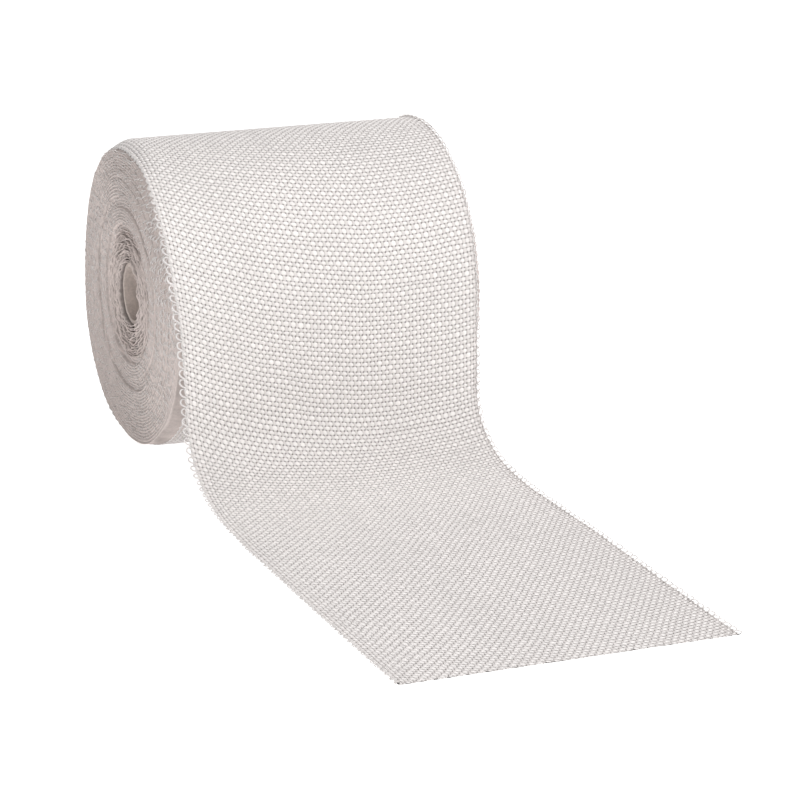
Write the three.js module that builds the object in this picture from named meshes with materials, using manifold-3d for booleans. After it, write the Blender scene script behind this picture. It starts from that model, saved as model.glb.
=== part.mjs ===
// Roll of woven glass-cloth tape on a thin paper core, with a loose end
// that hangs off the front of the roll and lies forward on the floor.
//
// Millimetres, +Z up. The roll lies on its side with its axis along X.
// The loose end runs towards -Y. The origin is on the floor, under the
// middle of the whole object.

import * as THREE from 'three';
import { mergeVertices } from 'three/addons/utils/BufferGeometryUtils.js';
import Module from 'manifold-3d';

// Tape
const tapeWidth = 150;
const tapeThickness = 0.35;

// Wound roll
const rollRadius = 73.25;
const rollSegments = 72;

// Paper core
const coreBoreRadius = 12.7;
const coreWall = 2;
const coreSetBack = 0.5;
const coreClearance = 0.3;

// Turns are wound a little to one side or the other, so bands of them stand
// proud or set back on the ends. Each band has its depth across the turns
// and its shift along the axis. The outer band takes what is left.
const windingBands = [
  { depth: 4.2, shift: -0.9 },
  { depth: 3.4, shift: 0.5 },
  { depth: 6.0, shift: -0.4 },
  { depth: 5.2, shift: 0.9 },
  { depth: 7.4, shift: -0.8 },
  { depth: 5.0, shift: 0.2 },
  { depth: 8.2, shift: -1.6 },
  { depth: 4.6, shift: -0.7 },
  { depth: 5.6, shift: 0.4 },
];
const outerBandShift = 1.6;
const outerBandLeastDepth = 5;

// Loose end. It leaves the front of the roll, hangs straight, bends over a
// soft curve and lies flat. Heights are over the floor and reaches are
// forward of the front of the roll.
const hangSetForward = 0.9;
const bendTop = 34;
const bendUpperPull = 20;
const bendLowerPull = 26;
const bendReach = 42;
const bendEndHeight = 1.8;
const settleReach = 78;
const looseReach = 268;
const sidewaysDrift = -3.2;
const driftReach = 105;
const curveSteps = 14;
const driftSteps = 6;

const coreOuterRadius = coreBoreRadius + coreWall;
const woundInnerRadius = coreOuterRadius + coreClearance;
const rollFrontY = -rollRadius;
const looseEndY = rollFrontY - looseReach;
const originY = (looseEndY + rollRadius) / 2;

const wasm = await Module();
wasm.setup();

function toSolid(geometry) {
  const bare = geometry.clone();
  bare.deleteAttribute('normal');
  bare.deleteAttribute('uv');
  const merged = mergeVertices(bare, 1e-4);
  return new wasm.Manifold(
    new wasm.Mesh({
      numProp: 3,
      vertProperties: new Float32Array(merged.attributes.position.array),
      triVerts: new Uint32Array(merged.index.array),
    }),
  );
}

function toGeometry(solid) {
  const mesh = solid.getMesh();
  const geometry = new THREE.BufferGeometry();
  geometry.setAttribute('position', new THREE.BufferAttribute(mesh.vertProperties, 3));
  geometry.setIndex(new THREE.BufferAttribute(mesh.triVerts, 1));
  geometry.computeVertexNormals();
  return geometry;
}

// Turns a closed outline of (radius, place along X) points about the X axis,
// with that axis at the roll's own height and place.
function turnAboutRollAxis(outline) {
  const points = outline.map(([radius, along]) => new THREE.Vector2(radius, along));
  points.push(points[0].clone());
  const geometry = new THREE.LatheGeometry(points, rollSegments);
  geometry.rotateZ(-Math.PI / 2);
  geometry.translate(0, -originY, rollRadius);
  return geometry;
}

// The bands of turns from the core outwards, repeated on a thicker roll. The
// last one holds the turn that the loose end comes from.
function bandEdges() {
  const edges = [];
  const lastInner = rollRadius - outerBandLeastDepth;
  let inner = woundInnerRadius;
  let band = windingBands[0];
  while (inner + band.depth <= lastInner) {
    edges.push({ inner, outer: inner + band.depth, shift: band.shift });
    inner += band.depth;
    band = windingBands[edges.length % windingBands.length];
  }
  edges.push({ inner, outer: rollRadius, shift: outerBandShift });
  return edges;
}

function woundRoll() {
  const edges = bandEdges();
  const outline = [];
  for (const band of edges) {
    const end = -tapeWidth / 2 + band.shift;
    outline.push([band.inner, end], [band.outer, end]);
  }
  for (const band of edges.reverse()) {
    const end = tapeWidth / 2 + band.shift;
    outline.push([band.outer, end], [band.inner, end]);
  }
  return turnAboutRollAxis(outline);
}

// Face of the loose end that is towards the roll and then under it on the
// floor, from the roll's front down to the cut end, as (Y, Z) points with Y
// measured from the roll's axis.
function looseEndPath() {
  const hangY = rollFrontY - hangSetForward;
  const bendEndY = rollFrontY - bendReach;
  const leaveTop = new THREE.Vector2(rollFrontY + tapeThickness, rollRadius);
  const bendStart = new THREE.Vector2(hangY, bendTop);
  const bendEnd = new THREE.Vector2(bendEndY, bendEndHeight);
  const bend = new THREE.CubicBezierCurve(
    bendStart,
    new THREE.Vector2(hangY, bendTop - bendUpperPull),
    new THREE.Vector2(bendEndY + bendLowerPull, bendEndHeight * 3),
    bendEnd,
  );
  const settled = new THREE.Vector2(rollFrontY - settleReach, 0);
  const path = [leaveTop, ...bend.getPoints(curveSteps)];
  for (let step = 1; step <= driftSteps; step += 1) {
    const share = step / driftSteps;
    const height = bendEndHeight * (1 - share) ** 2;
    path.push(new THREE.Vector2(bendEnd.x + (settled.x - bendEnd.x) * share, height));
  }
  path.push(new THREE.Vector2(looseEndY, 0));
  return path;
}

// Points offset square to a path, on the side that faces forward and up.
function offsetPath(path, distance) {
  return path.map((point, index) => {
    const before = path[Math.max(index - 1, 0)];
    const after = path[Math.min(index + 1, path.length - 1)];
    const along = after.clone().sub(before).normalize();
    return new THREE.Vector2(point.x + along.y * distance, point.y - along.x * distance);
  });
}

// Sideways place of the loose end: in line with the outer band of turns where
// it leaves the roll, and drifting over as it goes down and forward.
function sidewaysPlace(forward) {
  const share = THREE.MathUtils.smoothstep(forward, 0, driftReach);
  return outerBandShift + sidewaysDrift * share;
}

function looseEnd() {
  const under = looseEndPath();
  const upper = offsetPath(under, tapeThickness);
  const outline = new THREE.Shape([...under, ...upper.reverse()]);
  const geometry = new THREE.ExtrudeGeometry(outline, {
    depth: tapeWidth,
    bevelEnabled: false,
    steps: 1,
  });
  // The outline's own plane is turned upright, with its depth along +X.
  const place = new THREE.Matrix4().makeBasis(
    new THREE.Vector3(0, 1, 0),
    new THREE.Vector3(0, 0, 1),
    new THREE.Vector3(1, 0, 0),
  );
  geometry.applyMatrix4(place);
  const position = geometry.attributes.position;
  for (let index = 0; index < position.count; index += 1) {
    const forward = rollFrontY - position.getY(index);
    position.setX(index, position.getX(index) - tapeWidth / 2 + sidewaysPlace(forward));
  }
  geometry.translate(0, -originY, 0);
  return geometry;
}

function clothTape() {
  return toGeometry(toSolid(woundRoll()).add(toSolid(looseEnd())));
}

function coreTube() {
  const end = tapeWidth / 2 - coreSetBack;
  const outline = [
    [coreBoreRadius, -end],
    [coreOuterRadius, -end],
    [coreOuterRadius, end],
    [coreBoreRadius, end],
  ];
  return toGeometry(toSolid(turnAboutRollAxis(outline)));
}

function piece(name, geometry, color, roughness) {
  const material = new THREE.MeshStandardMaterial({ color, roughness, metalness: 0 });
  const mesh = new THREE.Mesh(geometry, material);
  mesh.name = name;
  return mesh;
}

const tapeRoll = new THREE.Group();
tapeRoll.add(piece('cloth_tape', clothTape(), 0xf0ece8, 0.55));
tapeRoll.add(piece('core_tube', coreTube(), 0xb3a899, 0.85));

export default tapeRoll;
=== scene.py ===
import math

import bmesh
import bpy
import numpy as np
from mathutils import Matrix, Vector, noise


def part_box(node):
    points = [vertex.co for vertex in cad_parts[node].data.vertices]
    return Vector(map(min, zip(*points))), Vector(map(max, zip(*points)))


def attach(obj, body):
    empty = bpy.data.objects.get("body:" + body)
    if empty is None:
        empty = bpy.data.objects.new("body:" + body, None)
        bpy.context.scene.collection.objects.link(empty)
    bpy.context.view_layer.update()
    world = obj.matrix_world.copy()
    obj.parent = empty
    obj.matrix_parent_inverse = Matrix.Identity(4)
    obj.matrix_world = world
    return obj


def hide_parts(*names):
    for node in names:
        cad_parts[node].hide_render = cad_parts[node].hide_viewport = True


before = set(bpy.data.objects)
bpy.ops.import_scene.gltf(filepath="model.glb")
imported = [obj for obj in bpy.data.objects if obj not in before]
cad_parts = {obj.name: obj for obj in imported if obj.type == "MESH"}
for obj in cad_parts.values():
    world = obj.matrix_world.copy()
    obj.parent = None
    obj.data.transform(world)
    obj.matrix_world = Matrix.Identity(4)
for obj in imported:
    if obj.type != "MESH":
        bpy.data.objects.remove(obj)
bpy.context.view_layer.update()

print("frame loaded")

# The roll's own measures, read off the frame. The roll lies with its axis along X.
clothLow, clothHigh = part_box("cloth_tape")
coreLow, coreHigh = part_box("core_tube")
rollRadius = clothHigh.z / 2
rollY = clothHigh.y - rollRadius
rollZ = rollRadius
rollCentre = Vector((0, rollY, rollZ))
looseTipY = clothLow.y
coreRadius = (coreHigh.z - coreLow.z) / 2

mm = 0.001  # in metres


# A point on the roll: its place along X, then its distance and angle about the roll's axis
def aroundRoll(along, radius, angle):
    return (along, rollY + radius * math.cos(angle), rollZ + radius * math.sin(angle))


def aroundSpot(angle, scale, along):
    return Vector((math.cos(angle) * scale, math.sin(angle) * scale, along))


def clamped(value):
    return min(max(value, 0), 1)


def eased(share):
    return share * share * (3 - 2 * share)


# Node helpers

def feed(tree, value, socket):
    if isinstance(value, bpy.types.NodeSocket):
        tree.links.new(value, socket)
    else:
        socket.default_value = value


def addNode(tree, kind, inputs=None, **settings):
    node = tree.nodes.new(kind)
    for key, value in settings.items():
        setattr(node, key, value)
    for name, value in (inputs or {}).items():
        feed(tree, value, node.inputs[name])
    return node


def calc(tree, operation, *values):
    inputs = dict(enumerate(values))
    return addNode(tree, "ShaderNodeMath", inputs, operation=operation).outputs[0]


def vectorCalc(tree, operation, *values):
    inputs = dict(enumerate(values))
    return addNode(tree, "ShaderNodeVectorMath", inputs, operation=operation).outputs[0]


def scaled(tree, vector, amount):
    inputs = {0: vector, "Scale": amount}
    return addNode(tree, "ShaderNodeVectorMath", inputs, operation="SCALE").outputs[0]


def joinXyz(tree, x=0.0, y=0.0, z=0.0):
    return addNode(tree, "ShaderNodeCombineXYZ", {0: x, 1: y, 2: z}).outputs[0]


def splitXyz(tree, vector):
    return addNode(tree, "ShaderNodeSeparateXYZ", {0: vector}).outputs


def ramp(tree, value, low, high, outLow=0.0, outHigh=1.0, smooth=True):
    inputs = {"Value": value, "From Min": low, "From Max": high, "To Min": outLow, "To Max": outHigh}
    kind = "SMOOTHSTEP" if smooth else "LINEAR"
    return addNode(tree, "ShaderNodeMapRange", inputs, interpolation_type=kind).outputs["Result"]


def noiseAt(tree, vector, scale, detail=2.0, roughness=0.5):
    inputs = {"Vector": vector, "Scale": scale, "Detail": detail, "Roughness": roughness}
    node = addNode(tree, "ShaderNodeTexNoise", inputs, noise_dimensions="3D")
    return node.outputs["Factor" if "Factor" in node.outputs else "Fac"]


# Tone of a noise between two values
def toneFrom(tree, noiseValue, low, high):
    return ramp(tree, noiseValue, 0.3, 0.7, low, high)


# A place in a noise that is counted in warp ends and weft picks
def weaveSpot(tree, end, pick, endScale, pickScale, layer=0.0):
    return joinXyz(
        tree, calc(tree, "MULTIPLY", end, endScale), calc(tree, "MULTIPLY", pick, pickScale), layer
    )


def lessHalf(tree, value):
    return calc(tree, "SUBTRACT", value, 0.5)


# How the two sets of yarns cross, for the relief and the colour alike. A crossing is one
# unit each way. The product is +1 in the middle of a weft float and -1 on a warp float.
def crossing(tree, end, pick):
    acrossWave = calc(tree, "SINE", calc(tree, "MULTIPLY", end, math.pi))
    alongWave = calc(tree, "SINE", calc(tree, "MULTIPLY", pick, math.pi))
    product = calc(tree, "MULTIPLY", acrossWave, alongWave)
    cornerAcross = calc(tree, "SUBTRACT", 1.0, calc(tree, "ABSOLUTE", acrossWave))
    cornerAlong = calc(tree, "SUBTRACT", 1.0, calc(tree, "ABSOLUTE", alongWave))
    corner = calc(tree, "MULTIPLY", cornerAcross, cornerAlong)
    return acrossWave, alongWave, product, corner


socketKinds = {
    bpy.types.Object: "NodeSocketObject",
    bpy.types.Material: "NodeSocketMaterial",
    float: "NodeSocketFloat",
}


# A tree with one named input for each value that it will be given
def newTree(name, values):
    tree = bpy.data.node_groups.new(name, "GeometryNodeTree")
    tree.interface.new_socket("Geometry", in_out="INPUT", socket_type="NodeSocketGeometry")
    for label, value in values.items():
        kind = next(kind for sort, kind in socketKinds.items() if isinstance(value, sort))
        tree.interface.new_socket(label, in_out="INPUT", socket_type=kind)
    tree.interface.new_socket("Geometry", in_out="OUTPUT", socket_type="NodeSocketGeometry")
    given = addNode(tree, "NodeGroupInput")
    result = addNode(tree, "NodeGroupOutput")
    return tree, given.outputs, result.inputs["Geometry"]


def namedAttribute(tree, name, kind="FLOAT_VECTOR"):
    node = addNode(tree, "GeometryNodeInputNamedAttribute", {"Name": name}, data_type=kind)
    return node.outputs["Attribute"]


def shapeOf(tree, given):
    info = addNode(tree, "GeometryNodeObjectInfo", {"Object": given}, transform_space="ORIGINAL")
    return info.outputs["Geometry"]


def asCurve(tree, mesh):
    return addNode(tree, "GeometryNodeMeshToCurve", {"Mesh": mesh}).outputs["Curve"]


# A closed tube of a yarn's thickness along a curve
def tubeAlong(tree, curve, radius, sides):
    circle = {"Resolution": sides, "Radius": radius}
    profile = addNode(tree, "GeometryNodeCurvePrimitiveCircle", circle, mode="RADIUS").outputs["Curve"]
    inputs = {"Curve": curve, "Profile Curve": profile, "Fill Caps": True}
    return addNode(tree, "GeometryNodeCurveToMesh", inputs).outputs["Mesh"]


def randomVector(tree, low, high, seed):
    inputs = {"Min": low, "Max": high, "Seed": seed}
    return addNode(tree, "FunctionNodeRandomValue", inputs, data_type="FLOAT_VECTOR").outputs["Value"]


# Copies of one shape on points, made real
def copiesOn(tree, points, shape, rotation, scale, selection=True):
    inputs = {
        "Points": points,
        "Selection": selection,
        "Instance": shape,
        "Rotation": rotation,
        "Scale": scale,
    }
    copies = addNode(tree, "GeometryNodeInstanceOnPoints", inputs).outputs["Instances"]
    return addNode(tree, "GeometryNodeRealizeInstances", {"Geometry": copies}).outputs["Geometry"]


def smoothShaded(tree, geometry):
    return addNode(tree, "GeometryNodeSetShadeSmooth", {"Geometry": geometry}).outputs["Geometry"]


# Runs a tree on a piece and keeps the result as a plain mesh
def runTree(piece, tree, values):
    modifier = piece.modifiers.new(tree.name, "NODES")
    modifier.node_group = tree
    for item in tree.interface.items_tree:
        if item.item_type == "SOCKET" and item.in_out == "INPUT" and item.name in values:
            modifier[item.identifier] = values[item.name]
    bpy.context.view_layer.update()
    graph = bpy.context.evaluated_depsgraph_get()
    mesh = bpy.data.meshes.new_from_object(piece.evaluated_get(graph))
    piece.modifiers.clear()
    piece.data = mesh
    mesh.name = piece.name
    return piece


def newPiece(name, data):
    piece = bpy.data.objects.new(name, data)
    bpy.context.scene.collection.objects.link(piece)
    return piece


def meshFrom(name, points, faces):
    mesh = bpy.data.meshes.new(name)
    mesh.from_pydata(points, [], faces)
    mesh.polygons.foreach_set("use_smooth", [True] * len(mesh.polygons))
    mesh.update()
    return mesh


# Keeps one number or one vector for each point
def storeOnPoints(mesh, name, values):
    values = np.array(values, np.float32)
    kind, slot = ("FLOAT", "value") if values.ndim == 1 else ("FLOAT_VECTOR", "vector")
    attribute = mesh.attributes.new(name, kind, "POINT")
    attribute.data.foreach_set(slot, values.ravel())


# A loop of yarn as a curve, for a tree to copy
def loopCurve(name, points):
    curve = bpy.data.curves.new(name, "CURVE")
    curve.dimensions = "3D"
    spline = curve.splines.new("POLY")
    spline.points.add(len(points) - 1)
    for point, place in zip(spline.points, points):
        point.co = (*place, 1)
    piece = newPiece(name, curve)
    piece.hide_render = True
    return piece


# The strip of cloth: how it is woven and where it runs

tape = {
    "ends": 84,  # warp yarns across the width
    "wovenWidth": 147 * mm,
    "endSpreadRight": 0.03,  # ends lie a little closer on the left
    "woundPickPitch": 2.17 * mm,
    "loosePickPitch": 2.40 * mm,  # the loose end has stretched a little
    "thickness": 0.35 * mm,
    "loopReach": 3.5 * mm,  # how far the weft loops stand out of both edges
    "underLap": 20,  # degrees of the outer turn that start under the loose end
    "lapSink": 0.7 * mm,  # how far that start is pressed in
    "floatHeight": 0.30 * mm,
    "weftProud": 0.05 * mm,
    "gapDepth": 0.12 * mm,
    "topSink": 0.18 * mm,  # the floats stand above this, so the cloth keeps its thickness
    "weftSpread": 0.30 * mm,
    "pickSqueeze": 0.05 * mm,
    "wander": 2.2 * mm,  # how far the yarns stray from straight
}
# The weft is bowed: its lean and its curve on the roll and on the loose end
weftBow = {"lean": (0.14, 0.05), "curve": (-0.30, -0.42), "change": (35 * mm, 120 * mm)}

# Underside of the loose end, the same route as the solid's
looseRoute = {
    "hangForward": 0.9 * mm,
    "bendTop": 34 * mm,
    "upperPull": 20 * mm,
    "lowerPull": 26 * mm,
    "bendReach": 42 * mm,
    "bendEndHeight": 1.8 * mm,
    "settleReach": 78 * mm,
    "waveLift": 0.7 * mm,  # a low wave in the loose end on the floor
    "waveStart": 0.11,  # in metres from where the cloth leaves the roll
    "waveLength": 0.16,
}

# Woven edges of the strip: place along it in mm from where it leaves the roll, then
# place along X in mm
leftEdge = [
    (-486, -68.0), (-450, -66.5), (-400, -66.0), (-365, -67.5), (-345, -71.5), (-325, -75.0),
    (-308, -76.4), (-279, -76.8), (-252, -76.1), (-227, -75.0), (-206, -74.4), (-180, -74.0),
    (-148, -74.2), (-121, -74.8), (-93, -75.2), (-69, -75.9), (-51, -75.7), (-38, -75.3),
    (-26, -74.9), (-16, -74.4), (-7, -73.3), (0, -72.6), (20, -71.6), (44, -71.0), (52, -70.7),
    (70, -71.2), (85, -72.0), (114, -73.8), (157, -75.2), (211, -74.8), (262, -73.9),
    (300, -73.4), (330, -72.8),
]
rightEdge = [
    (-486, 72.8), (-121, 72.6), (-100, 73.0), (-38, 73.5), (0, 73.1), (100, 72.7), (200, 73.1),
    (300, 73.0), (326, 72.8),
]
# How far the left edge of the outer turn drops over the roll's rounded rim, in mm
leftDrop = [
    (-486, 0.5), (-300, 0.8), (-230, 1.2), (-180, 2.0), (-150, 3.4), (-121, 4.0), (-104, 3.7),
    (-92, 2.6), (-78, 1.2), (-55, 0.5), (-10, 0.0), (330, 0.0),
]
dropStarts = 65 * mm  # from the middle of the strip


def bezier(start, pullStart, pullEnd, end, share):
    rest = 1 - share
    return (
        start * rest ** 3
        + pullStart * 3 * rest ** 2 * share
        + pullEnd * 3 * rest * share ** 2
        + end * share ** 3
    )


# The strip's underside as (Y, Z) points, from under the outer turn round the roll and
# down to the cut end
def stripRoute():
    thick = tape["thickness"]
    route = []
    lastAngle = 180
    for angle in np.arange(-180 - tape["underLap"], lastAngle, 0.5):
        lapped = clamped((-172 - angle) / 10)
        radius = rollRadius - thick - thick * (lastAngle - angle) / 360 - tape["lapSink"] * lapped
        route.append(aroundRoll(0, radius, math.radians(angle))[1:])
    wound = len(route)
    frontY = rollY - rollRadius
    hangY = frontY - looseRoute["hangForward"]
    bendEndY = frontY - looseRoute["bendReach"]
    route.append((frontY + thick, rollZ))
    start = Vector((hangY, looseRoute["bendTop"]))
    end = Vector((bendEndY, looseRoute["bendEndHeight"]))
    pullStart = Vector((hangY, looseRoute["bendTop"] - looseRoute["upperPull"]))
    pullEnd = Vector((bendEndY + looseRoute["lowerPull"], looseRoute["bendEndHeight"] * 3))
    for share in np.linspace(0, 1, 60):
        route.append(tuple(bezier(start, pullStart, pullEnd, end, share)))
    settledY = frontY - looseRoute["settleReach"]
    for share in np.linspace(0.05, 1, 24):
        height = looseRoute["bendEndHeight"] * (1 - share) ** 2
        route.append((end.x + (settledY - end.x) * share, height))
    for y in np.linspace(settledY, looseTipY, 60)[1:]:
        route.append((y, 0.0))
    return np.array(route), wound


def smoothed(values, width):
    padded = np.pad(values, width, mode="edge")
    return np.convolve(padded, np.ones(2 * width + 1) / (2 * width + 1), mode="valid")


def makeStripPath():
    route, wound = stripRoute()
    steps = np.hypot(*np.diff(route, axis=0).T)
    length = np.concatenate([[0], np.cumsum(steps)])
    leaves = length[wound]
    spacing = tape["woundPickPitch"] / 3
    at = np.arange(0, length[-1], spacing)
    y = smoothed(np.interp(at, length, route[:, 0]), 3)
    z = smoothed(np.interp(at, length, route[:, 1]), 3)
    past = at - leaves
    wave = np.clip((past - looseRoute["waveStart"]) / looseRoute["waveLength"], 0, 1)
    z += looseRoute["waveLift"] * np.sin(wave * math.pi) ** 2
    left = smoothed(np.interp(past * 1000, *zip(*leftEdge)), 6) * mm
    right = smoothed(np.interp(past * 1000, *zip(*rightEdge)), 6) * mm
    drop = smoothed(np.interp(past * 1000, *zip(*leftDrop)), 6) * mm
    points = [(0.0, a, b) for a, b in zip(y, z)]
    mesh = bpy.data.meshes.new("stripPath")
    mesh.from_pydata(points, [(i, i + 1) for i in range(len(points) - 1)], [])
    storeOnPoints(mesh, "tapeEdges", np.stack([left, right, drop], axis=1))
    path = newPiece("stripPath", mesh)
    path.hide_render = True
    return path, leaves, at[-1]


stripPath, leavesAt, stripLength = makeStripPath()


# Where the picks lie along the strip, three places to a pick
def pickPlaces():
    places = [0.0]
    while places[-1] < stripLength + 30 * mm:
        past = places[-1] - leavesAt
        pitch = np.interp(past, weftBow["change"], (tape["woundPickPitch"], tape["loosePickPitch"]))
        places.append(places[-1] + pitch / 3)
    return np.array(places)


def bowAt(across, along):
    first, last = weftBow["change"]
    share = np.clip((along - leavesAt - first) / (last - first), 0, 1)
    lean = weftBow["lean"][0] + share * (weftBow["lean"][1] - weftBow["lean"][0])
    curve = weftBow["curve"][0] + share * (weftBow["curve"][1] - weftBow["curve"][0])
    half = tape["wovenWidth"] / 2
    place = across / half
    return half * (lean * place + curve * place * place / 2)


picks = pickPlaces()
pickCount = (len(picks) - 1) // 3
print("strip", round(stripLength, 4), "m long with", pickCount, "picks, leaves at", round(leavesAt, 4))


stripInputs = {"Strip path": stripPath, "Woven width": tape["wovenWidth"]}


# Lays flat work on the strip's route. Flat X is across the strip, flat Y along it from
# its start and flat Z out from its underside.
def layOnStripTree():
    tree, given, result = newTree("layOnStrip", stripInputs)
    place = splitXyz(tree, addNode(tree, "GeometryNodeInputPosition").outputs[0])
    inputs = {
        "Curves": asCurve(tree, shapeOf(tree, given["Strip path"])),
        "Value": namedAttribute(tree, "tapeEdges"),
        "Length": place["Y"],
    }
    sample = addNode(
        tree,
        "GeometryNodeSampleCurve",
        inputs,
        mode="LENGTH",
        data_type="FLOAT_VECTOR",
        use_all_curves=False,
    )
    sides = splitXyz(tree, sample.outputs["Value"])
    share = calc(tree, "ADD", calc(tree, "DIVIDE", place["X"], given["Woven width"]), 0.5)
    span = calc(tree, "SUBTRACT", sides["Y"], sides["X"])
    across = calc(tree, "MULTIPLY_ADD", share, span, sides["X"])
    outward = vectorCalc(tree, "CROSS_PRODUCT", sample.outputs["Tangent"], (1, 0, 0))
    outward = vectorCalc(tree, "NORMALIZE", outward)
    half = calc(tree, "MULTIPLY", given["Woven width"], 0.5)
    rim = calc(tree, "SUBTRACT", calc(tree, "MULTIPLY", place["X"], -1.0), dropStarts)
    rim = calc(tree, "DIVIDE", rim, calc(tree, "SUBTRACT", half, dropStarts))
    rim = calc(tree, "MINIMUM", calc(tree, "MAXIMUM", rim, 0.0), 1.15)
    drop = calc(tree, "MULTIPLY", calc(tree, "MULTIPLY", rim, rim), sides["Z"])
    raised = scaled(tree, outward, calc(tree, "SUBTRACT", place["Z"], drop))
    spot = vectorCalc(tree, "ADD", sample.outputs["Position"], raised)
    spot = vectorCalc(tree, "ADD", spot, joinXyz(tree, across))
    inputs = {"Geometry": given["Geometry"], "Position": spot}
    moved = addNode(tree, "GeometryNodeSetPosition", inputs).outputs["Geometry"]
    flipped = addNode(tree, "GeometryNodeFlipFaces", {"Mesh": moved}).outputs["Mesh"]
    tree.links.new(flipped, result)
    return tree


layOnStrip = layOnStripTree()


def laidOnStrip(tree, geometry, given):
    inputs = {name: given[name] for name in stripInputs}
    inputs["Geometry"] = geometry
    return addNode(tree, "GeometryNodeGroup", inputs, node_tree=layOnStrip).outputs["Geometry"]


def withMaterial(tree, geometry, given):
    inputs = {"Geometry": geometry, "Material": given["Material"]}
    return addNode(tree, "GeometryNodeSetMaterial", inputs).outputs["Geometry"]


# Materials

def newMaterial(name):
    material = bpy.data.materials.new(name)
    material.use_nodes = True
    tree = material.node_tree
    shader = tree.nodes["Principled BSDF"]
    return material, tree, shader


def mixColour(tree, share, first, second):
    inputs = {0: share, 6: first, 7: second}
    return addNode(tree, "ShaderNodeMix", inputs, data_type="RGBA").outputs[2]


def setShader(tree, shader, colour, roughness, specular):
    tree.links.new(colour, shader.inputs["Base Color"])
    shader.inputs["Roughness"].default_value = roughness
    shader.inputs["Specular IOR Level"].default_value = specular


def addBump(tree, shader, height, distance, strength):
    inputs = {"Distance": distance, "Strength": strength, "Height": height}
    bump = addNode(tree, "ShaderNodeBump", inputs)
    tree.links.new(bump.outputs["Normal"], shader.inputs["Normal"])


# The cloth: colours of its yarns, the painted shade in their gaps and between picks, and how much their
# tones vary
weaveLook = {
    # weft lighter and warp darker: painted sheen on the weft and painted shade on the recessed warp, both
    # the same white glass
    "weft": (0.93, 0.888, 0.870, 1),
    "warp": (0.78, 0.733, 0.716, 1),
    # painted shade in the holes between the yarns
    "gap": (0.25, 0.223, 0.211, 1),
    "seamShade": 0.84,  # painted shade on the line between two picks
    "roughness": 0.36,
    "strands": 9.0,  # bundles of filament that show across one yarn
    "strandTone": 0.16,
    "floatTone": 0.07,  # how much one float differs from the next
    "patchTone": 0.10,
    "gapShadeRange": (0.24, 0.62),  # where the painted shade in a gap begins and where it is fully dark
}


def wovenGlass():
    material, tree, shader = newMaterial("wovenGlass")
    uv = addNode(tree, "ShaderNodeUVMap", uv_map="UVMap").outputs["UV"]
    end, pick, _ = splitXyz(tree, uv)
    _, alongWave, product, corner = crossing(tree, end, pick)
    weftOnTop = ramp(tree, product, -0.12, 0.12)
    strength = calc(tree, "ABSOLUTE", product)
    strandCount = weaveLook["strands"]
    along = noiseAt(tree, weaveSpot(tree, end, pick, 1.1, strandCount), 1.0, 1.0)
    up = noiseAt(tree, weaveSpot(tree, end, pick, strandCount, 1.1), 1.0, 1.0)
    strandMix = {0: weftOnTop, 2: up, 3: along}
    strand = addNode(tree, "ShaderNodeMix", strandMix, data_type="FLOAT").outputs[0]
    patch = noiseAt(tree, uv, 0.045, 2.0)
    floors = {"Vector": joinXyz(tree, calc(tree, "FLOOR", end), calc(tree, "FLOOR", pick))}
    cell = addNode(tree, "ShaderNodeTexWhiteNoise", floors, noise_dimensions="2D")
    # painted sheen on weft floats and painted shade on warp floats
    colour = mixColour(tree, weftOnTop, weaveLook["warp"], weaveLook["weft"])
    # painted shade on the line between picks and where one float dives under the next
    edgeShade = ramp(tree, calc(tree, "ABSOLUTE", alongWave), 0.0, 0.55, weaveLook["seamShade"], 1.0)
    edgeShade = calc(tree, "MULTIPLY", edgeShade, ramp(tree, strength, 0.0, 0.3, 0.9, 1.0))
    tone = calc(tree, "MULTIPLY_ADD", lessHalf(tree, strand), weaveLook["strandTone"], edgeShade)
    floatShade = lessHalf(tree, cell.outputs["Value"])
    tone = calc(tree, "MULTIPLY_ADD", floatShade, weaveLook["floatTone"], tone)
    tone = calc(tree, "MULTIPLY_ADD", lessHalf(tree, patch), weaveLook["patchTone"], tone)
    colour = scaled(tree, colour, tone)
    # painted shade in the holes between the yarns
    gapShadeShare = ramp(tree, corner, *weaveLook["gapShadeRange"])
    gapShadeShare = calc(tree, "MULTIPLY", gapShadeShare, toneFrom(tree, patch, 0.85, 1.0))
    colour = mixColour(tree, gapShadeShare, colour, weaveLook["gap"])
    setShader(tree, shader, colour, weaveLook["roughness"], 0.45)
    height = calc(tree, "MULTIPLY_ADD", strand, 0.35, calc(tree, "POWER", strength, 0.6))
    height = calc(tree, "MULTIPLY_ADD", corner, -0.8, height)
    addBump(tree, shader, height, 0.3 * mm, 1.0)
    return material


# A yarn seen by itself, white with fine filaments
yarnLook = {"colour": (0.92, 0.88, 0.862), "fineTone": (0.74, 1.0), "broadTone": (0.92, 1.0)}


def yarnGlass():
    material, tree, shader = newMaterial("yarnGlass")
    place = addNode(tree, "ShaderNodeTexCoord").outputs["Object"]
    fine = noiseAt(tree, place, 1800.0, 2.0)
    broad = noiseAt(tree, place, 120.0, 2.0)
    tone = toneFrom(tree, fine, *yarnLook["fineTone"])
    tone = calc(tree, "MULTIPLY", tone, toneFrom(tree, broad, *yarnLook["broadTone"]))
    setShader(tree, shader, scaled(tree, yarnLook["colour"], tone), 0.4, 0.5)
    addBump(tree, shader, fine, 0.15 * mm, 0.6)
    return material


# The ends of the roll: edges of many turns, packed and fuzzy
turnLook = {
    "colour": (0.80, 0.70, 0.663),
    "shadeRange": (-1.5, 1.0),  # painted shade, between a groove and a crest
    "shadeTone": (0.44, 1.10),
    "ringTone": (0.88, 1.04),
    "fuzzTone": (0.88, 1.0),
    "broadTone": (0.97, 1.02),
    "ringsOut": 1500.0,  # noise cells a metre across the turns
    "ringsAround": 9.0,  # and round them
}


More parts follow.
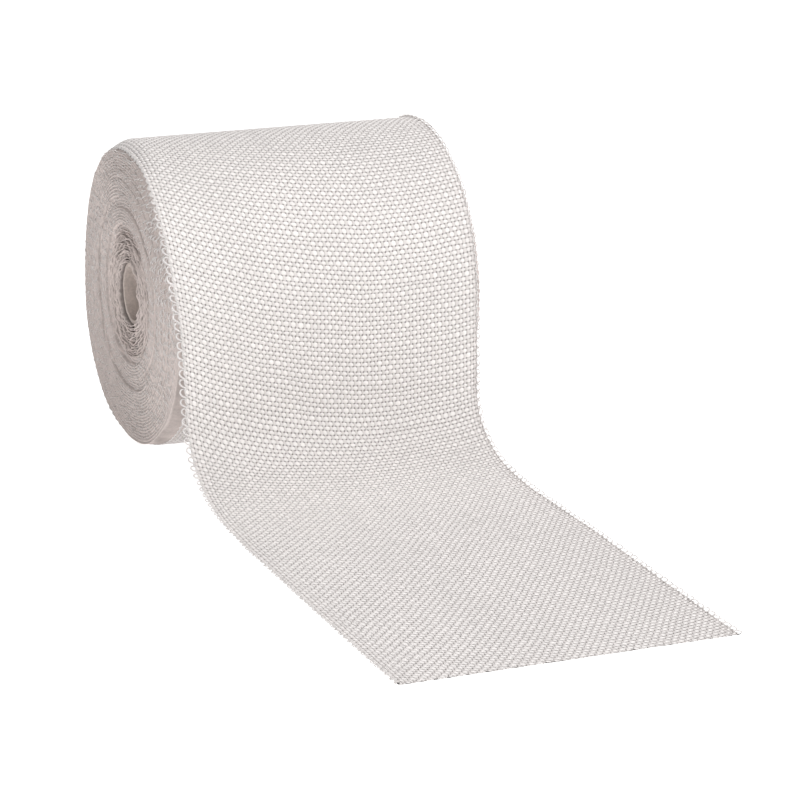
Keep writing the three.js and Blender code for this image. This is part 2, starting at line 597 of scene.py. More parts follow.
def turnEdges():
    material, tree, shader = newMaterial("turnEdges")
    place = addNode(tree, "ShaderNodeTexCoord").outputs["Object"]
    spot = splitXyz(tree, vectorCalc(tree, "SUBTRACT", place, tuple(rollCentre)))
    squareY = calc(tree, "MULTIPLY", spot["Y"], spot["Y"])
    squareZ = calc(tree, "MULTIPLY", spot["Z"], spot["Z"])
    radius = calc(tree, "SQRT", calc(tree, "ADD", squareY, squareZ))
    angle = calc(tree, "ARCTAN2", spot["Z"], spot["Y"])
    ringPlace = joinXyz(
        tree,
        calc(tree, "MULTIPLY", radius, turnLook["ringsOut"]),
        calc(tree, "MULTIPLY", calc(tree, "SINE", angle), turnLook["ringsAround"]),
        calc(tree, "MULTIPLY", calc(tree, "COSINE", angle), turnLook["ringsAround"]),
    )
    rings = noiseAt(tree, ringPlace, 1.0, 2.0)
    fuzz = noiseAt(tree, place, 900.0, 3.0, 0.6)
    broad = noiseAt(tree, place, 45.0, 2.0)
    # painted shade kept on the points: grooves, slack turns and the hollow round the core darker, crests
    # lighter
    paintedShade = addNode(tree, "ShaderNodeAttribute", attribute_name="turnTone").outputs["Fac"]
    tone = ramp(tree, paintedShade, *turnLook["shadeRange"], *turnLook["shadeTone"], smooth=False)
    for name, pattern in (("ringTone", rings), ("fuzzTone", fuzz), ("broadTone", broad)):
        tone = calc(tree, "MULTIPLY", tone, toneFrom(tree, pattern, *turnLook[name]))
    setShader(tree, shader, scaled(tree, turnLook["colour"], tone), 0.6, 0.3)
    height = calc(tree, "MULTIPLY_ADD", rings, 0.8, fuzz)
    addBump(tree, shader, height, 0.3 * mm, 0.8)
    return material


paperLook = {"colour": (0.60, 0.515, 0.47), "fibreTone": (0.85, 1.08), "broadTone": (0.85, 1.0)}


def corePaper():
    material, tree, shader = newMaterial("corePaper")
    place = addNode(tree, "ShaderNodeTexCoord").outputs["Object"]
    fibre = noiseAt(tree, place, 700.0, 4.0, 0.65)
    broad = noiseAt(tree, place, 60.0, 2.0)
    tone = toneFrom(tree, fibre, *paperLook["fibreTone"])
    tone = calc(tree, "MULTIPLY", tone, toneFrom(tree, broad, *paperLook["broadTone"]))
    setShader(tree, shader, scaled(tree, paperLook["colour"], tone), 0.85, 0.25)
    addBump(tree, shader, fibre, 0.1 * mm, 0.6)
    return material


wovenGlassMaterial = wovenGlass()
yarnMaterial = yarnGlass()
turnEdgesMaterial = turnEdges()
corePaperMaterial = corePaper()
print("materials made")


# The woven cloth of the outer turn and the loose end

def endPlaces():
    share = np.linspace(-1, 1, tape["ends"] * 3 + 1)
    return tape["wovenWidth"] / 2 * (share + tape["endSpreadRight"] * (share * share - 1))


def quadsOn(grid, flipped):
    ring = [grid[:-1, :-1], grid[:-1, 1:], grid[1:, 1:], grid[1:, :-1]]
    if flipped:
        ring.reverse()
    return np.stack(ring, axis=-1).reshape(-1, 4).tolist()


def edgePairs(line):
    return {(min(a, b), max(a, b)) for a, b in zip(line[:-1].tolist(), line[1:].tolist())}


# A flat closed strip of cloth between two picks: fine on top, coarse underneath
def flatSlab(name, firstPick, lastPick):
    ends = tape["ends"]
    endsPerUnder = 4
    pickTotal = lastPick - firstPick
    across = endPlaces()
    along = picks[3 * firstPick:3 * lastPick + 1]
    endCount = np.arange(ends * 3 + 1) / 3
    pickNumber = firstPick + np.arange(pickTotal * 3 + 1) / 3

    def sheetPoints(columns, rows, height):
        x, y = np.meshgrid(across[columns], along[rows])
        return np.stack([x.ravel(), (y + bowAt(x, y)).ravel(), np.full(x.size, height)], axis=1)

    def sheetWeave(columns, rows):
        end, pick = np.meshgrid(endCount[columns], pickNumber[rows])
        return np.stack([end.ravel(), pick.ravel(), end.ravel() * 0], axis=1)

    every = slice(None)
    underColumns = slice(None, None, 3 * endsPerUnder)
    underRows = slice(None, None, 3)
    points = np.concatenate([
        sheetPoints(every, every, tape["thickness"] - tape["topSink"]),
        sheetPoints(underColumns, underRows, 0.0),
    ])
    weave = np.concatenate([sheetWeave(every, every), sheetWeave(underColumns, underRows)])
    wide, deep = len(across), len(along)
    topAt = np.arange(wide * deep).reshape(deep, wide)
    underWide = ends // endsPerUnder + 1
    underAt = wide * deep + np.arange(underWide * (pickTotal + 1)).reshape(pickTotal + 1, underWide)
    faces = quadsOn(topAt, False) + quadsOn(underAt, True)
    smoothFaces = len(faces)
    for k in range(pickTotal):
        rows = slice(3 * k, 3 * k + 4)
        faces.append(topAt[rows, 0].tolist() + [int(underAt[k + 1, 0]), int(underAt[k, 0])])
        faces.append(topAt[rows, -1][::-1].tolist() + [int(underAt[k, -1]), int(underAt[k + 1, -1])])
    for k in range(ends // endsPerUnder):
        step = 3 * endsPerUnder
        columns = slice(step * k, step * (k + 1) + 1)
        faces.append(topAt[0, columns][::-1].tolist() + [int(underAt[0, k]), int(underAt[0, k + 1])])
        faces.append(topAt[-1, columns].tolist() + [int(underAt[-1, k + 1]), int(underAt[-1, k])])
    mesh = bpy.data.meshes.new(name)
    mesh.from_pydata(points.tolist(), [], faces)
    mesh.polygons.foreach_set("use_smooth", np.arange(len(faces)) < smoothFaces)
    storeOnPoints(mesh, "weave", weave)
    mesh.update()
    # the rim is a sharp edge all round
    borders = set()
    for grid in (topAt, underAt):
        for line in (grid[0], grid[-1], grid[:, 0], grid[:, -1]):
            borders |= edgePairs(line)
    pairs = np.zeros(len(mesh.edges) * 2, np.int32)
    mesh.edges.foreach_get("vertices", pairs)
    pairs = np.sort(pairs.reshape(-1, 2), axis=1)
    sharp = mesh.attributes.new("sharp_edge", "BOOLEAN", "EDGE")
    sharp.data.foreach_set("value", [tuple(p) in borders for p in pairs.tolist()])
    return newPiece(name, mesh)


# Cuts the loose end straight across, whatever way its picks run, and closes the cut
def cutAcross(piece, place):
    work = bmesh.new()
    work.from_mesh(piece.data)
    everything = work.verts[:] + work.edges[:] + work.faces[:]
    cut = bmesh.ops.bisect_plane(
        work, geom=everything, plane_co=(0, place, 0), plane_no=(0, 1, 0), clear_outer=True
    )
    rim = [item for item in cut["geom_cut"] if isinstance(item, bmesh.types.BMEdge)]
    closed = bmesh.ops.holes_fill(work, edges=rim, sides=0)
    for face in closed["faces"]:
        face.smooth = False
    for edge in rim:
        edge.smooth = False
    bmesh.ops.recalc_face_normals(work, faces=closed["faces"])
    work.to_mesh(piece.data)
    work.free()


# Noises that the yarns wander by: cells to an end, cells to a pick, then a layer of their own
wanderNoise = {
    "slowAcross": (0.05, 0.05, 3.7),
    "slowAlong": (0.05, 0.05, 11.3),
    "eachEnd": (0.9, 0.05, 8.9),
    "eachPick": (0.11, 0.9, 5.1),
}


def wanderBy(tree, end, pick, name, detail):
    spot = weaveSpot(tree, end, pick, *wanderNoise[name])
    return lessHalf(tree, noiseAt(tree, spot, 1.0, detail))


clothInputs = {
    **stripInputs,
    "Float height": tape["floatHeight"],
    "Weft proud": tape["weftProud"],
    "Gap depth": tape["gapDepth"],
    "Weft spread": tape["weftSpread"],
    "Pick squeeze": tape["pickSqueeze"],
    "Wander": tape["wander"],
    "Material": wovenGlassMaterial,
}


# Raises the floats, sinks the gaps and lets the yarns wander, then lays the cloth
def wovenClothTree():
    tree, given, result = newTree("wovenCloth", clothInputs)
    flat = splitXyz(tree, addNode(tree, "GeometryNodeInputPosition").outputs[0])
    end, pick, _ = splitXyz(tree, namedAttribute(tree, "weave"))
    inputs = {"Geometry": given["Geometry"], "Name": "UVMap"}
    store = addNode(
        tree, "GeometryNodeStoreNamedAttribute", inputs, data_type="FLOAT2", domain="CORNER"
    )
    tree.links.new(joinXyz(tree, end, pick), store.inputs["Value"])
    acrossWave, alongWave, product, corner = crossing(tree, end, pick)
    isTop = calc(tree, "GREATER_THAN", flat["Z"], 0.1 * mm)
    swell = calc(tree, "POWER", calc(tree, "ABSOLUTE", product), 0.6)
    weave = calc(tree, "MULTIPLY", swell, given["Float height"])
    weave = calc(tree, "MULTIPLY_ADD", product, given["Weft proud"], weave)
    weave = calc(tree, "SUBTRACT", weave, calc(tree, "MULTIPLY", corner, given["Gap depth"]))
    liveliness = noiseAt(tree, weaveSpot(tree, end, pick, 0.35, 0.35), 1.0, 1.0)
    weave = calc(tree, "MULTIPLY", weave, toneFrom(tree, liveliness, 0.75, 1.2))
    height = calc(tree, "MULTIPLY", weave, isTop)
    # floats of weft are wide and short, floats of warp narrow and tall
    zigzag = calc(tree, "ABSOLUTE", calc(tree, "WRAP", end, 1.0, -1.0))
    zigzag = calc(tree, "MULTIPLY_ADD", zigzag, -2.0, 1.0)
    endSlope = calc(tree, "MULTIPLY", zigzag, alongWave)
    pickTurn = calc(tree, "COSINE", calc(tree, "MULTIPLY", pick, math.pi))
    pickSlope = calc(tree, "MULTIPLY", pickTurn, acrossWave)
    half = calc(tree, "MULTIPLY", given["Woven width"], 0.5)
    inner = calc(tree, "SUBTRACT", half, calc(tree, "ABSOLUTE", flat["X"]))
    spreadShare = ramp(tree, inner, 2 * mm, 9 * mm, -0.15, -1.0)
    shiftX = calc(tree, "MULTIPLY", endSlope, calc(tree, "MULTIPLY", given["Weft spread"], spreadShare))
    shiftY = calc(tree, "MULTIPLY", pickSlope, given["Pick squeeze"])
    driftX = wanderBy(tree, end, pick, "slowAcross", 1.0)
    driftY = wanderBy(tree, end, pick, "slowAlong", 1.0)
    jitterX = wanderBy(tree, end, pick, "eachEnd", 0.0)
    jitterY = wanderBy(tree, end, pick, "eachPick", 0.0)
    driftX = calc(tree, "MULTIPLY_ADD", jitterX, 0.35, driftX)
    driftY = calc(tree, "MULTIPLY_ADD", jitterY, 0.6, driftY)
    edgeHold = calc(tree, "MINIMUM", calc(tree, "DIVIDE", inner, 4 * mm), 1.0)
    shiftX = calc(tree, "MULTIPLY_ADD", calc(tree, "MULTIPLY", driftX, given["Wander"]), edgeHold, shiftX)
    shiftY = calc(tree, "MULTIPLY_ADD", driftY, given["Wander"], shiftY)
    shiftX = calc(tree, "MULTIPLY", shiftX, calc(tree, "GREATER_THAN", inner, 0.01 * mm))
    inputs = {"Geometry": store.outputs["Geometry"], "Offset": joinXyz(tree, shiftX, shiftY, height)}
    raised = addNode(tree, "GeometryNodeSetPosition", inputs).outputs["Geometry"]
    tree.links.new(withMaterial(tree, laidOnStrip(tree, raised, given), given), result)
    return tree


wovenCloth = wovenClothTree()

# First and last pick of each piece of the strip
clothPieces = {
    "outer_turn_a": (0, 76),
    "outer_turn_b": (76, 152),
    "outer_turn_c": (152, 248),
    "loose_cloth": (248, pickCount),
}


def makeCloth():
    made = {}
    for name, (firstPick, lastPick) in clothPieces.items():
        piece = flatSlab(name, firstPick, lastPick)
        if name == "loose_cloth":
            cutAcross(piece, stripLength - 0.2 * mm)
        made[name] = runTree(piece, wovenCloth, clothInputs)
    # the cut shows bare yarn ends
    loose = made["loose_cloth"].data
    loose.materials.append(yarnMaterial)
    for face in loose.polygons:
        if len(face.vertices) > 40:
            face.material_index = 1
    return made


cloth = makeCloth()
print("cloth woven")


# Weft loops and edge threads along both selvages

selvage = {
    "yarnRadius": 0.42 * mm,
    "loopEveryPicks": 2,
    "rootSpread": 0.70,  # half the spread of a loop's two feet, in picks
    "footLength": 0.9 * mm,  # how far they lie over the edge of the cloth
    "threadRadius": 0.40 * mm,
    "height": 0.45 * mm,  # over the underside of the cloth
    "threadInset": 0.1 * mm,
    "threadSway": 0.4 * mm,
    "threadRise": 0.2 * mm,
    "pressedInBefore": -72 * mm,  # behind this the left loops are wound in and don't show
}
# How far the loops stand out, as a share: pressed in behind, curled in on the floor
loopShares = {
    -1: [
        (-486, 0.15), (-140, 0.2), (-75, 0.3), (-35, 0.9), (0, 1.0), (50, 1.0), (75, 0.65),
        (110, 0.5), (330, 0.5),
    ],
    1: [(-486, 0.2), (-230, 0.3), (-160, 0.4), (0, 0.45), (60, 0.5), (100, 0.68), (330, 0.68)],
}


def loopTemplate():
    reach = tape["loopReach"]
    foot = selvage["rootSpread"] * tape["woundPickPitch"]
    sunk = selvage["footLength"]
    points = []
    for turn in math.pi * np.linspace(0, 1, 13):
        x = -sunk + (reach + sunk - selvage["yarnRadius"]) * max(math.sin(turn), 0) ** 0.65
        y = -foot * math.cos(turn) * (1 + 0.2 * math.sin(turn))
        points.append((x, y, 0.5 * mm * math.cos(turn) + 0.1 * mm))
    return loopCurve("weftLoop", points)


def selvageTree(inputs):
    tree, given, result = newTree("selvageLoops", inputs)
    loop = tubeAlong(tree, shapeOf(tree, given["Loop"]), given["Yarn radius"], 5)
    # loose points carry loops, points joined by edges are the threads
    isLoop = calc(tree, "GREATER_THAN", calc(tree, "ABSOLUTE", namedAttribute(tree, "side", "FLOAT")), 0.5)
    tilt = randomVector(tree, (-0.08, -0.22, -0.09), (0.08, 0.0, 0.09), 11)
    size = randomVector(tree, (0.88, 0.9, 0.8), (1.08, 1.12, 1.3), 12)
    turned = joinXyz(tree, 0.0, 0.0, namedAttribute(tree, "facing", "FLOAT"))
    rotation = vectorCalc(tree, "ADD", tilt, turned)
    scale = vectorCalc(tree, "MULTIPLY", size, namedAttribute(tree, "stretch"))
    loops = copiesOn(tree, given["Geometry"], loop, rotation, scale, isLoop)
    threads = tubeAlong(tree, asCurve(tree, given["Geometry"]), given["Thread radius"], 5)
    join = addNode(tree, "GeometryNodeJoinGeometry")
    for geometry in (loops, threads):
        tree.links.new(geometry, join.inputs["Geometry"])
    laid = laidOnStrip(tree, smoothShaded(tree, join.outputs["Geometry"]), given)
    tree.links.new(withMaterial(tree, laid, given), result)
    return tree


# Flat places of the loops, then of the thread that runs along the edge
def selvagePlaces():
    half = tape["wovenWidth"] / 2
    points = []
    sides = []
    facings = []
    stretches = []
    edges = []
    for side, firstPick in ((1, 0), (-1, 1)):
        for place in picks[3 * firstPick::3 * selvage["loopEveryPicks"]]:
            along = place + float(bowAt(side * half, place))
            pressedIn = side < 0 and along < leavesAt + selvage["pressedInBefore"]
            if not pressedIn and 0 < along < stripLength - 0.5 * mm:
                points.append((side * half, along, selvage["height"]))
                sides.append(side)
                past = (along - leavesAt) * 1000
                reach = np.interp(past, *zip(*loopShares[side]))
                # on the left they point up until the cloth bends
                leftFacing = math.pi + np.interp(past, (55, 95), (0.55, 0.1))
                facings.append(-0.1 if side > 0 else leftFacing)
                # and on the floor they lie flatter and closer together
                wider = np.interp(past, (40, 90), (1.0, 1.2))
                flatter = np.interp(past, (60, 100), (1.0, 0.5))
                stretches.append((reach, wider, flatter))
        first = len(points)
        pitch = selvage["loopEveryPicks"] * tape["woundPickPitch"]
        for along in np.arange(0, stripLength - 0.3 * mm, pitch / 4):
            phase = 2 * math.pi * along / pitch
            across = side * (half - selvage["threadInset"]) + selvage["threadSway"] * math.cos(phase)
            points.append((across, along, selvage["height"] + selvage["threadRise"] * math.sin(phase)))
            sides.append(0)
            facings.append(0.0)
            stretches.append((1.0, 1.0, 1.0))
        edges += [(k, k + 1) for k in range(first, len(points) - 1)]
    mesh = bpy.data.meshes.new("selvage_loops")
    mesh.from_pydata(points, edges, [])
    storeOnPoints(mesh, "side", sides)
    storeOnPoints(mesh, "facing", facings)
    storeOnPoints(mesh, "stretch", stretches)
    return mesh


def makeSelvages():
    template = loopTemplate()
    inputs = {
        **stripInputs,
        "Loop": template,
        "Yarn radius": selvage["yarnRadius"],
        "Thread radius": selvage["threadRadius"],
        "Material": yarnMaterial,
    }
    piece = runTree(newPiece("selvage_loops", selvagePlaces()), selvageTree(inputs), inputs)
    bpy.data.objects.remove(template)
    return piece


selvageLoops = makeSelvages()
print("selvages looped")


# The wound turns under the outer one, with their edges showing on both ends

wound = {
    "rings": 150,
    "steps": 260,
    "halfWidth": 75 * mm,
    "underOuter": 0.85 * mm,  # how far the body stays inside the outer turn
    "ringPitch": 1.45 * mm,
    "ringHeight": 0.34 * mm,
    "beadHeight": 0.09 * mm,
    "beadPitch": 4.4 * mm,
    "looseRadius": 30.5 * mm,  # inside this the turns are slack
    "looseDrop": 1.8 * mm,
    "hollowRadius": 18.5 * mm,  # and inside this there is a gap round the core
    "hollowDrop": 3 * mm,
    "lastTurnPlace": 72 * mm,
}
# Bands of turns, as in the solid: outer radius in mm, then shift along X in mm
windingBands = [
    (19.2, -0.9), (22.6, 0.5), (28.6, -0.4), (33.8, 0.9), (41.2, -0.8), (46.2, 0.2),
    (54.4, -1.0), (59.0, -0.5), (64.6, 0.0), (73.3, 0.0),
]
# Place of the left end at its rim: angle in degrees from the back, then mm
leftRim = [
    (-180, 73.0), (-150, 73.2), (-110, 74.8), (-82, 75.2), (-61, 77.0), (-38, 77.5), (-17, 76.8),
    (0, 75.7), (20, 75.1), (45, 75.2), (65, 76.0), (86, 76.4), (107, 75.6), (126, 75.4), (150, 74.2),
    (180, 73.0),
]
rightRim = [(-180, 75.0), (-90, 75.4), (0, 75.2), (90, 74.4), (180, 75.0)]


def bandShift(radius):
    radii = [edge * mm for edge, _ in windingBands]
    total = 0.0
    for inner, (_, before), (_, after) in zip(radii, windingBands, windingBands[1:]):
        total += (after - before) * eased(clamped((radius - inner) / (0.9 * mm) + 0.5))
    return (windingBands[0][1] + total) * mm


# How far the end stands out of the roll's middle, side -1 left and +1 right, and its painted shade: lighter
# on crests and beads, darker in the grooves, among the slack turns and in the hollow round the core
def endPlace(radius, angle, side):
    degrees = (math.degrees(angle) + 180) % 360 - 180
    around = Vector((math.cos(angle), math.sin(angle)))
    out = wound["halfWidth"] + side * bandShift(radius)
    rim = np.interp(degrees, *zip(*(leftRim if side < 0 else rightRim))) * mm
    out += (rim - wound["halfWidth"]) * (radius / rollRadius) ** 2
    waveSpot = Vector((around.x * 2.2, around.y * 2.2, radius * 70 + side * 9))
    wavy = noise.noise(waveSpot)
    ringPhase = (radius + wavy * 1.3 * mm) / wound["ringPitch"]
    crest = math.sin(ringPhase * 2 * math.pi) * (0.75 + 0.5 * noise.noise(waveSpot * 1.7))
    # the weft loops of each turn make a row of beads along it
    ringOffset = math.floor(ringPhase + 0.25) * 0.37
    bead = math.cos((angle * radius / wound["beadPitch"] + ringOffset) * 2 * math.pi)
    beadSpot = Vector((around.x * radius * 300, around.y * radius * 300, radius * 300 + side * 5))
    bead = bead * (0.5 + 0.9 * noise.noise(beadSpot)) + 0.8 * noise.noise(beadSpot * 2.3)
    out += wound["ringHeight"] * crest + wound["beadHeight"] * bead
    slack = clamped((wound["looseRadius"] - radius) / (3 * mm))
    out -= wound["looseDrop"] * eased(slack)
    hollow = clamped((wound["hollowRadius"] - radius) / (1.5 * mm))
    out -= wound["hollowDrop"] * hollow
    # the rim is rounded where the outer turn's left edge drops over it
    if side < 0:
        past = (degrees - 180) * math.pi / 180 * rollRadius * 1000
        drop = np.interp(past, *zip(*leftDrop)) * mm
        under = max(rollRadius - wound["underOuter"] - radius, 0)
        span = tape["wovenWidth"] / 2 - dropStarts
        if drop > 0.3 * mm and under < drop:
            out = min(out, dropStarts + (span + 1 * mm) * math.sqrt(under / drop))
    # the last turn under the outer one is seen inside its loops
    last = clamped((radius - rollRadius) / (1.8 * mm) + 1)
    out += min(wound["lastTurnPlace"] - out, 0) * last * last
    # painted shade: crests and beads lighter, grooves, slack turns and the hollow round the core darker,
    # where the turns shade each other
    tone = 0.85 * crest + 0.25 * bead - 0.35 * slack - 0.7 * hollow
    return out, tone


# A piece that shows turns on edge, with the painted shade of each point
def turnPiece(name, points, faces, tones):
    mesh = meshFrom(name, points, faces)
    storeOnPoints(mesh, "turnTone", tones)
    mesh.materials.append(turnEdgesMaterial)
    return newPiece(name, mesh)


def makeWoundTurns():
    innerRadius = coreRadius + 0.3 * mm
    outerRadius = rollRadius - wound["underOuter"]
    radii = np.linspace(innerRadius, outerRadius, wound["rings"])
    angles = np.linspace(0, 2 * math.pi, wound["steps"], endpoint=False)
    points = []
    tones = []
    for side in (-1, 1):
        for radius in radii:
            for angle in angles:
                out, tone = endPlace(radius, angle, side)
                points.append(aroundRoll(side * out, radius, angle))
                tones.append(tone)
    count = wound["steps"]
    rings = wound["rings"]
    order = list(range(rings)) + [rings + k for k in reversed(range(rings))]
    faces = []
    for k, ring in enumerate(order):
        here = ring * count
        there = order[(k + 1) % len(order)] * count
        for step in range(count):
            after = (step + 1) % count
            faces.append((here + step, there + step, there + after, here + after))
    return turnPiece("wound_turns", points, faces, tones)


woundTurns = makeWoundTurns()
print("turns wound")


# Slack turns round the core, as thin ribbons on edge

slackTurns = {
    "count": 17,
    "first": 15.3 * mm,
    "pitch": 0.95 * mm,
    "thickness": 0.5 * mm,
    "steps": 160,
    "scallop": 0.8 * mm,
    "scallopPitch": 4.4 * mm,
    "coreGap": 1.5 * mm,  # the core leaves a gap on the side away from the loose end
    "stray": 2.0 * mm,
    "crumple": 1.3 * mm,
}
# Across a ribbon: share of its half thickness, mm below its top, then painted shade, darker the deeper it
# lies between the turns
ribbonSection = (
    (-1, 8, -3.0), (-1, 1.2, -1.2), (-0.8, 0.2, 0.1), (0, 0, 0.9), (0.8, 0.2, 0.1), (1, 1.2, -1.2),
    (1, 8, -3.0),
)


def slackRadius(index, angle, side):
    base = slackTurns["first"] + index * slackTurns["pitch"]
    share = index / (slackTurns["count"] - 1)
    looseness = math.sin(math.pi * share) ** 0.6
    stray = slackTurns["stray"] * noise.noise(aroundSpot(angle, 1.3, side * 7 + index * 0.22))
    crumple = slackTurns["crumple"] * noise.noise(aroundSpot(angle, 6, side * 3 + index * 0.55))
    gap = slackTurns["coreGap"] * max(math.cos(angle + 0.15), 0) ** 2 * (1 - share)
    return base + gap + looseness * (stray + crumple)


def makeSlackTurns():
    count = slackTurns["steps"]
    half = slackTurns["thickness"] / 2
    points = []
    tones = []
    faces = []
    for side in (-1, 1):
        for index in range(slackTurns["count"]):
            first = len(points)
            for step in range(count):
                angle = 2 * math.pi * step / count
                middle = slackRadius(index, angle, side)
                lean = aroundSpot(angle, 3, index * 0.8 + side)
                lift = noise.noise(lean)
                wave = angle * middle / slackTurns["scallopPitch"] + index * 0.37
                scallop = abs(math.sin(math.pi * wave)) * (0.6 + noise.noise(lean * 3))
                top = wound["halfWidth"] + (0.1 + 1.5 * lift) * mm + slackTurns["scallop"] * (scallop - 0.5)
                for share, below, tone in ribbonSection:
                    points.append(aroundRoll(side * (top - below * mm), middle + half * share, angle))
                    # ribbons that stand higher are painted lighter and lower ones darker: painted shade
                    tones.append(tone + 0.8 * lift)
            size = len(ribbonSection)
            for step in range(count):
                here = first + step * size
                there = first + (step + 1) % count * size
                for k in range(size):
                    after = (k + 1) % size
                    face = (here + k, there + k, there + after, here + after)
                    faces.append(face if side > 0 else face[::-1])
    return turnPiece("slack_turns", points, faces, tones)


slackPiece = makeSlackTurns()
print("slack turns made")


# Weft loops that stand out of the ends

endLoops = {
    "spacing": 4.9 * mm,
    "yarnRadius": 0.17 * mm,
    "stand": 0.55 * mm,
    "sunk": 0.5 * mm,
    "halfFoot": 1.15 * mm,
    "looserFrom": 44 * mm,  # from this radius the turns are looser towards the front
}


def endLoopTemplate():
    points = []
    for turn in math.pi * np.linspace(0, 1, 6):
        x = -endLoops["sunk"] + (endLoops["stand"] + endLoops["sunk"]) * max(math.sin(turn), 0) ** 0.7
        points.append((x, -endLoops["halfFoot"] * math.cos(turn), 0.12 * mm * math.sin(2 * turn)))
    return loopCurve("endLoop", points)


def endLoopsTree(inputs):
    tree, given, result = newTree("endLoops", inputs)
    loop = tubeAlong(tree, shapeOf(tree, given["Loop"]), given["Yarn radius"], 3)
    size = namedAttribute(tree, "size", "FLOAT")
    loops = copiesOn(tree, given["Geometry"], loop, namedAttribute(tree, "turn"), size)
    tree.links.new(withMaterial(tree, smoothShaded(tree, loops), given), result)
    return tree


def makeEndLoops():
    points = []
    turns = []
    sizes = []
    randomly = np.random.default_rng(7)
    for side in (-1, 1):
        for radius in np.arange(wound["looseRadius"], rollRadius - 4 * mm, wound["ringPitch"]):
            count = int(2 * math.pi * radius / endLoops["spacing"])
            for index in range(count):
                angle = 2 * math.pi * (index + randomly.uniform(-0.25, 0.25)) / count
                place = radius + randomly.uniform(-0.45, 0.45) * wound["ringPitch"]
                out, _ = endPlace(place, angle, side)
                points.append(aroundRoll(side * out, place, angle))
                lean = randomly.uniform(-0.35, 0.35)
                twist = randomly.uniform(-0.3, 0.3)
                turns.append((angle + math.pi / 2 + twist, lean, 0 if side > 0 else math.pi))
                looser = max(math.cos(angle - 2.5), 0) ** 2
                looser *= clamped((place - endLoops["looserFrom"]) / (12 * mm))
                sizes.append(randomly.uniform(0.65, 1.15) * (1 + 0.7 * looser))
    mesh = bpy.data.meshes.new("end_loops")
    mesh.from_pydata(points, [], [])
    storeOnPoints(mesh, "turn", turns)
    storeOnPoints(mesh, "size", sizes)
    template = endLoopTemplate()
    inputs = {"Loop": template, "Yarn radius": endLoops["yarnRadius"], "Material": yarnMaterial}
    piece = runTree(newPiece("end_loops", mesh), endLoopsTree(inputs), inputs)
    bpy.data.objects.remove(template)
    return piece


endLoopsPiece = makeEndLoops()
print("end loops made")


# The paper core

core = {
    "bore": 12.7 * mm,
    "wall": 2 * mm,
    "steps": 96,
    "halfLength": 73.4 * mm,
    "edgeRound": 0.35 * mm,
    "crush": 0.25 * mm,
    "dent": 0.3 * mm,  # of its ends only
}


def makeCore():
    inner = core["bore"]
    outer = inner + core["wall"]
    end = core["halfLength"]
    soft = core["edgeRound"]
    outline = []
    for side in (-1, 1):
        radii = [inner, inner + soft * 0.3, inner + soft, outer - soft, outer - soft * 0.3, outer]
        ends = [end - soft, end - soft * 0.3, end, end, end - soft * 0.3, end - soft]
        pairs = list(zip(radii, ends))
        if side > 0:
            pairs.reverse()
        outline += [(radius, side * place) for radius, place in pairs]
    points = []
    for step in range(core["steps"]):
        angle = 2 * math.pi * step / core["steps"]
        for radius, along in outline:
            crush = core["crush"] * noise.noise(aroundSpot(angle, 1.5, along * 20))
            dent = core["dent"] * noise.noise(aroundSpot(angle, 4, along))
            place = along + (dent if abs(along) > end - 2 * soft else 0)
            points.append(aroundRoll(place, radius + crush, angle))
    size = len(outline)
    faces = []
    for step in range(core["steps"]):
        here, there = step * size, (step + 1) % core["steps"] * size
        for k in range(size):
            after = (k + 1) % size
            faces.append((here + k, here + after, there + after, there + k))
    mesh = meshFrom("paper_core", points, faces)
    mesh.materials.append(corePaperMaterial)
    return newPiece("paper_core", mesh)


paperCore = makeCore()
print("core made")


# What each piece stands for and moves with
def dress(piece, solid):
    print(piece.name, sum(len(face.vertices) - 2 for face in piece.data.polygons), "triangles")
    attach(piece, "root")
    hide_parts(solid)


for piece in [*cloth.values(), selvageLoops, woundTurns, slackPiece, endLoopsPiece]:
    dress(piece, "cloth_tape")
dress(paperCore, "core_tube")
bpy.data.objects.remove(stripPath)


# Floor, light and camera

studio = {
    "surround": 0.32,  # light of the world on the object
    "worldSeen": 1.05,  # and as the camera sees it
    "floorReach": 12.0,
    "floorDrop": 0.05 * mm,
    "floorGlow": 0.34,
    "floorLift": 0.42,  # more of it for the camera alone
    "lens": 138.96,
    "cameraPlace": (-0.4823, -1.2301, 0.4392),
    "cameraTilt": 16.44,  # degrees down
    "cameraTurn": 21.81,  # degrees to the right
}
# Place, target, size in metres and power in watts
lamps = {
    "key": ((0.8, -1.35, 1.4), (0, 0, 0.05), 0.45, 23.4),
    "top": ((0.1, 0.5, 1.9), (0, 0, 0.05), 1.0, 10.5),
    "fill": ((-0.55, -0.35, 0.17), (-0.07, 0.1, 0.05), 0.3, 0.85),
}


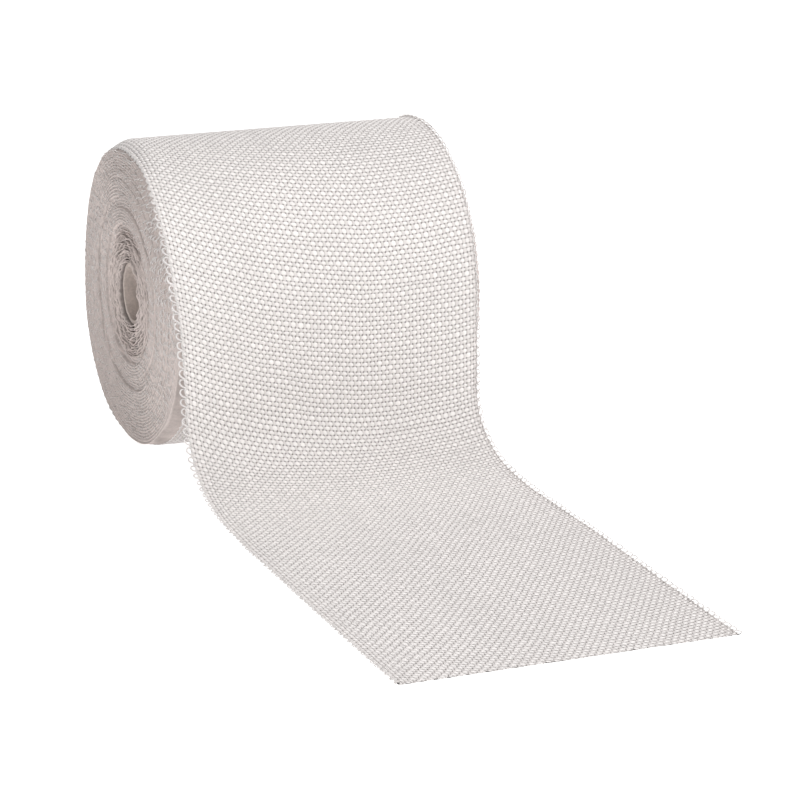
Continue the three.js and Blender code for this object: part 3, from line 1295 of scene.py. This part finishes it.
def makeFloor():
    reach = studio["floorReach"]
    around = ((-1, -1), (1, -1), (1, 1), (-1, 1))
    corners = [(x * reach, y * reach, -studio["floorDrop"]) for x, y in around]
    mesh = bpy.data.meshes.new("floor")
    mesh.from_pydata(corners, [], [(0, 1, 2, 3)])
    material, tree, shader = newMaterial("paleFloor")
    shader.inputs["Base Color"].default_value = (0.93, 0.93, 0.93, 1)
    shader.inputs["Roughness"].default_value = 0.9
    shader.inputs["Specular IOR Level"].default_value = 0.1
    shader.inputs["Emission Color"].default_value = (1, 1, 1, 1)
    seen = addNode(tree, "ShaderNodeLightPath").outputs["Is Camera Ray"]
    glow = calc(tree, "MULTIPLY_ADD", seen, studio["floorLift"], studio["floorGlow"])
    tree.links.new(glow, shader.inputs["Emission Strength"])
    mesh.materials.append(material)
    floor = newPiece("floor", mesh)


def makeLight(name, place, target, size, power):
    data = bpy.data.lights.new(name, "AREA")
    data.shape = "DISK"
    data.size = size
    data.energy = power
    lamp = bpy.data.objects.new(name, data)
    lamp.location = place
    lamp.rotation_euler = (Vector(target) - Vector(place)).to_track_quat("-Z", "Y").to_euler()
    bpy.context.scene.collection.objects.link(lamp)


def makeWorld():
    world = bpy.data.worlds.new("studio")
    world.use_nodes = True
    bpy.context.scene.world = world
    tree = world.node_tree
    background = tree.nodes["Background"]
    background.inputs["Color"].default_value = (1, 1, 1, 1)
    seen = addNode(tree, "ShaderNodeLightPath").outputs["Is Camera Ray"]
    lift = studio["worldSeen"] - studio["surround"]
    strength = calc(tree, "MULTIPLY_ADD", seen, lift, studio["surround"])
    tree.links.new(strength, background.inputs["Strength"])


def makeCamera():
    data = bpy.data.cameras.new("camera")
    data.sensor_width = 36
    data.lens = studio["lens"]
    data.clip_end = 60
    camera = bpy.data.objects.new("camera", data)
    camera.location = studio["cameraPlace"]
    tilt = math.radians(90 - studio["cameraTilt"])
    camera.rotation_euler = (tilt, 0, -math.radians(studio["cameraTurn"]))
    bpy.context.scene.collection.objects.link(camera)
    bpy.context.scene.camera = camera


makeFloor()
makeWorld()
for name, lamp in lamps.items():
    makeLight(name, *lamp)
makeCamera()
bpy.context.scene.view_settings.view_transform = "Standard"
print("stage set")
